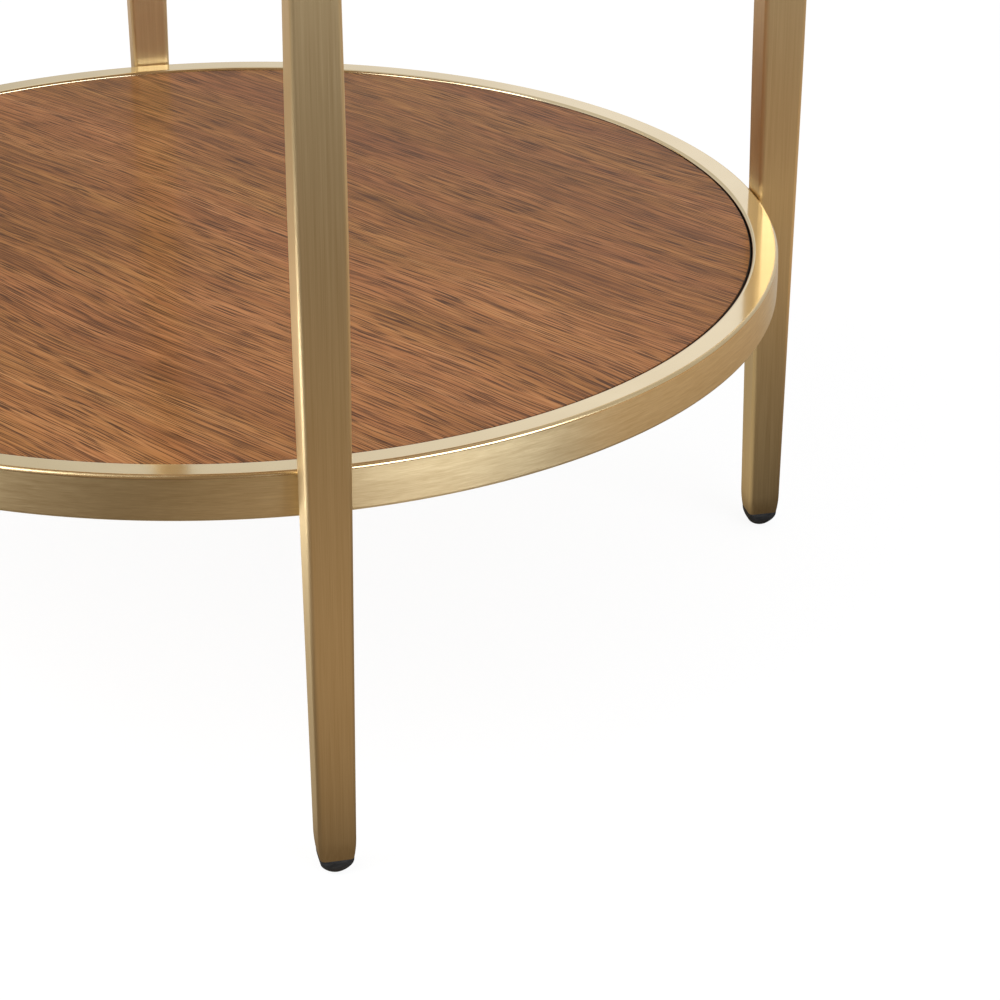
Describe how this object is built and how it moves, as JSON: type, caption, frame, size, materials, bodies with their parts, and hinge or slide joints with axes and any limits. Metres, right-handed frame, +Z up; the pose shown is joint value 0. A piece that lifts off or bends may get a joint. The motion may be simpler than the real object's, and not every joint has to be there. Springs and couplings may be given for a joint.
{
  "type": "tiered side table",
  "caption": "Round side table with a wood-veneered top and lower shelf, each set in a brass-toned ring carried by slim square legs that taper towards both ends.",
  "frame": {"origin": "on the floor, under the middle of the table", "axes": "+Z up, -Y towards the front leg, +X towards the right leg"},
  "size_m": [0.547, 0.547, 0.56],
  "materials": {
    "brushed_brass": "brass-plated steel, brushed along the leg",
    "ring_brass": "brass-plated steel, polished top and brushed sides",
    "walnut_veneer": "walnut veneer, satin lacquer",
    "board_core": "fibre board with a dark painted edge",
    "foam_pad": "adhesive foam pad",
    "tab_steel": "brass-plated steel, as welded",
    "zinc_steel": "zinc plated",
    "black_plastic": "moulded, fine matt texture"
  },
  "bodies": {
    "root": {"leg_front": "brushed_brass", "glide_front": "black_plastic", "leg_right": "brushed_brass", "glide_right": "black_plastic", "leg_back": "brushed_brass", "glide_back": "black_plastic", "leg_left": "brushed_brass", "glide_left": "black_plastic", "shelf_ring": "ring_brass", "shelf_veneer": "walnut_veneer", "shelf_core": "board_core", "shelf_tab_front_right": "tab_steel", "shelf_tab_back_right": "tab_steel", "shelf_tab_back_left": "tab_steel", "shelf_tab_front_left": "tab_steel", "shelf_pads": "foam_pad", "shelf_leg_studs": "zinc_steel", "shelf_stud_nuts": "zinc_steel", "top_ring": "ring_brass", "top_veneer": "walnut_veneer", "top_core": "board_core", "top_tab_front_right": "tab_steel", "top_tab_back_right": "tab_steel", "top_tab_back_left": "tab_steel", "top_tab_front_left": "tab_steel", "top_pads": "foam_pad", "top_leg_studs": "zinc_steel", "top_stud_nuts": "zinc_steel"}
  },
  "joints": []
}
